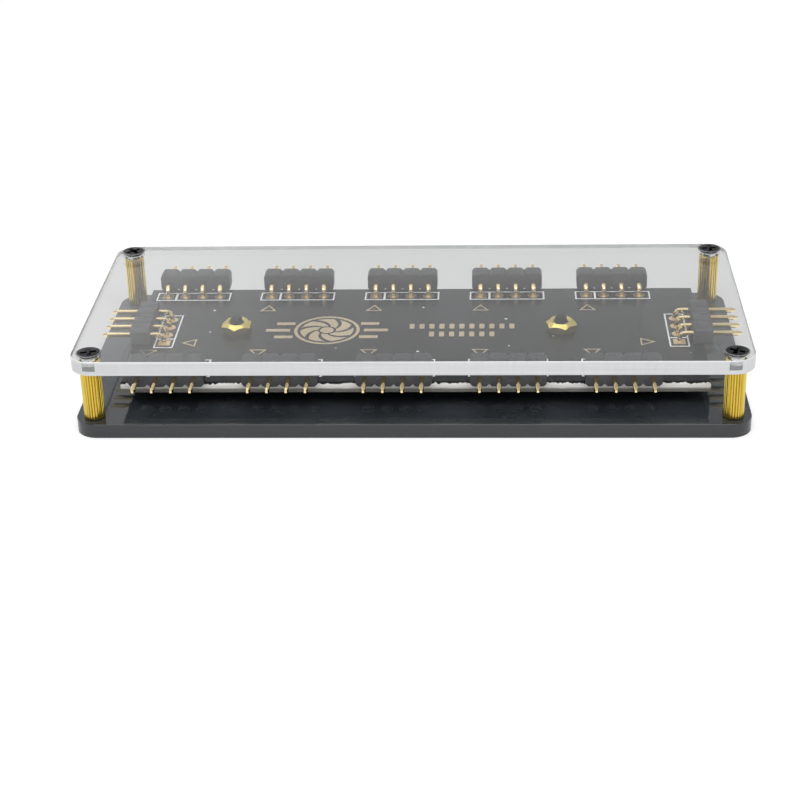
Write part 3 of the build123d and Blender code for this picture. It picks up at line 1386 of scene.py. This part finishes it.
@dataclass
class Studio:
    """Plain white sweep, soft light and the camera."""

    focal: float = 1863.02  # in pixels of an image 800 wide
    image: float = 800.0
    sensor: float = 36.0
    clip: float = 5.0
    eye: tuple[float, float, float] = (10.872, -237.515, 115.987)
    yaw: float = -0.05604
    pitch: float = 0.4688
    roll: float = -0.02666
    lamps: tuple[Lamp, ...] = (
        Lamp("softbox", (-0.05, -0.05, 0.6), (0.75, 0.6), 1.2),
        Lamp("front_fill", (0.05, -0.35, 0.5), (0.6, 0.25), 1.2),
    )
    dome: float = 0.6
    paper: str = "d2d2d2"
    paper_size: float = 6000.0
    paper_gap: float = 0.02  # below the hub
    paper_glow: float = 0.5
    paper_through: float = 0.25  # share of the glow that shows through a clear piece
    wall_turn: Pair = (-0.2, -0.08)  # direction, in X, over which reflections see the bright wall turn dim
    dim_wall: float = 0.7
    front_turn: Pair = (-0.5, 0.0)  # direction, in Y, over which the room behind the eye turns bright
    dim_front: float = 0.3

    def camera(self) -> None:
        """Set up the camera."""
        up = Vector((0, 0, 1))
        ahead = Vector((math.sin(self.yaw), math.cos(self.yaw), 0))
        right = Vector((math.cos(self.yaw), -math.sin(self.yaw), 0))
        forward = ahead * math.cos(self.pitch) - up * math.sin(self.pitch)
        rise = up * math.cos(self.pitch) + ahead * math.sin(self.pitch)
        across = right * math.cos(self.roll) + rise * math.sin(self.roll)
        above = rise * math.cos(self.roll) - right * math.sin(self.roll)
        data = bpy.data.cameras.new("camera")
        data.sensor_fit = "HORIZONTAL"
        data.sensor_width = self.sensor
        data.lens = self.focal / self.image * self.sensor
        data.clip_start = self.clip * MM
        lens = bpy.data.objects.new("camera", data)
        stand = Matrix((across, above, -forward)).transposed().to_4x4()
        stand.translation = Vector(self.eye) * MM
        lens.matrix_world = stand
        bpy.context.scene.collection.objects.link(lens)
        bpy.context.scene.camera = lens

    def seen_white(self, tree: NodeTree, mirrored: Value, through: Value) -> NodeSocket:
        """Give what the eye, a reflection or a clear piece sees, and 0 for soft light.

        Args:
            tree: The node tree that gets it.
            mirrored: How bright a reflection sees it; the eye sees 1.
            through: How bright a clear piece sees it.

        Returns:
            The socket that gives the share.
        """
        path = add_node(tree, "ShaderNodeLightPath").outputs
        direct = {0: path["Is Glossy Ray"], 2: path["Is Camera Ray"], 3: mirrored}
        first = add_node(tree, "ShaderNodeMix", direct).outputs[0]
        seen = {0: path["Is Transmission Ray"], 2: first, 3: through}
        return add_node(tree, "ShaderNodeMix", seen).outputs[0]

    def floor(self) -> None:
        """Lay the white paper under the hub."""
        paper = bpy.data.materials.new("white_paper_sweep")
        paper.use_nodes = True
        tree = paper.node_tree
        tree.nodes.clear()
        seen = self.seen_white(tree, 1.0, self.paper_through)
        glow = add_node(tree, "ShaderNodeMath", {0: seen, 1: self.paper_glow}, operation="MULTIPLY")
        matt = add_node(tree, "ShaderNodeBsdfDiffuse", {"Color": linear(self.paper)})
        lit = add_node(tree, "ShaderNodeEmission", {"Strength": glow.outputs[0]})
        both = add_node(tree, "ShaderNodeAddShader", {0: matt.outputs[0], 1: lit.outputs[0]})
        add_node(tree, "ShaderNodeOutputMaterial", {"Surface": both.outputs[0]})
        shape = bmesh.new()
        below = Matrix.Scale(MM, 4) @ Matrix.Translation((0, 0, -self.paper_gap))
        rectangle(shape, (self.paper_size, self.paper_size), below)
        mesh = bpy.data.meshes.new("floor")
        shape.to_mesh(mesh)
        shape.free()
        mesh.materials.append(paper)
        floor = bpy.data.objects.new("floor", mesh)
        bpy.context.scene.collection.objects.link(floor)

    def room(self) -> None:
        """Make the white room round the hub."""
        room = bpy.data.worlds.new("white_room")
        room.use_nodes = True
        tree = room.node_tree
        tree.nodes.clear()
        aim = add_node(tree, "ShaderNodeTexCoord").outputs["Generated"]
        way = add_node(tree, "ShaderNodeSeparateXYZ", {0: aim}).outputs
        side = {"From Min": self.wall_turn[0], "From Max": self.wall_turn[1], "To Max": self.dim_wall}
        front = {"From Min": self.front_turn[0], "From Max": self.front_turn[1], "To Max": 1.0}
        levels = [
            {"Value": way["X"], "To Min": 1.0, **side},
            {"Value": way["Y"], "To Min": self.dim_front, **front},
        ]
        walls = [add_node(tree, "ShaderNodeMapRange", w, interpolation_type="SMOOTHSTEP") for w in levels]
        both = {0: walls[0].outputs[0], 1: walls[1].outputs[0]}
        wall = add_node(tree, "ShaderNodeMath", both, operation="MULTIPLY").outputs[0]
        seen = self.seen_white(tree, wall, wall)
        level = add_node(tree, "ShaderNodeMath", {0: seen, 1: self.dome}, operation="MAXIMUM")
        glow = add_node(tree, "ShaderNodeBackground", {"Strength": level.outputs[0]})
        add_node(tree, "ShaderNodeOutputWorld", {"Surface": glow.outputs[0]})
        bpy.context.scene.world = room

    def build(self) -> None:
        """Set up the camera, the backdrop and the light."""
        self.camera()
        self.floor()
        self.room()
        for lamp in self.lamps:
            lamp.hang()
        bpy.context.scene.view_settings.view_transform = "Standard"


def main() -> None:
    """Build the hub's pieces in order."""
    logging.basicConfig(level=logging.INFO, format="%(name)s %(message)s")
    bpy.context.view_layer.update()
    Studio().build()
    posts = [CornerPost(corner) for corner in Corner]
    fasteners = [BoardFastener("left", 27.0), BoardFastener("right", 43.0)]
    corners = [post.centre for post in posts]
    all_holes = corners + [fastener.centre for fastener in fasteners]
    top = AcrylicPlate("top_plate", CLEAR, [CUT, POLISHED], True, mouth=1.43, cone=0.33, holes=corners)
    top.build().visible_shadow = False
    bottom = AcrylicPlate(
        "bottom_plate", BLACK, [], False, mouth=1.88, cone=0.78, holes=all_holes, broken=0.04
    )
    bottom.build()
    for post in posts:
        post.build()
    for fastener in fasteners:
        fastener.build()
    rows = [(side, i) for side in (Side.FRONT, Side.BACK) for i in range(1, 6)]
    headers = [PinHeader(f"{side.name.lower()}_{i}", side) for side, i in rows]
    headers += [PinHeader(side.name.lower(), side) for side in (Side.LEFT, Side.RIGHT)]
    for header in headers:
        header.build()
    CircuitBoard(headers).build()


if __name__ == "__main__":
    main()
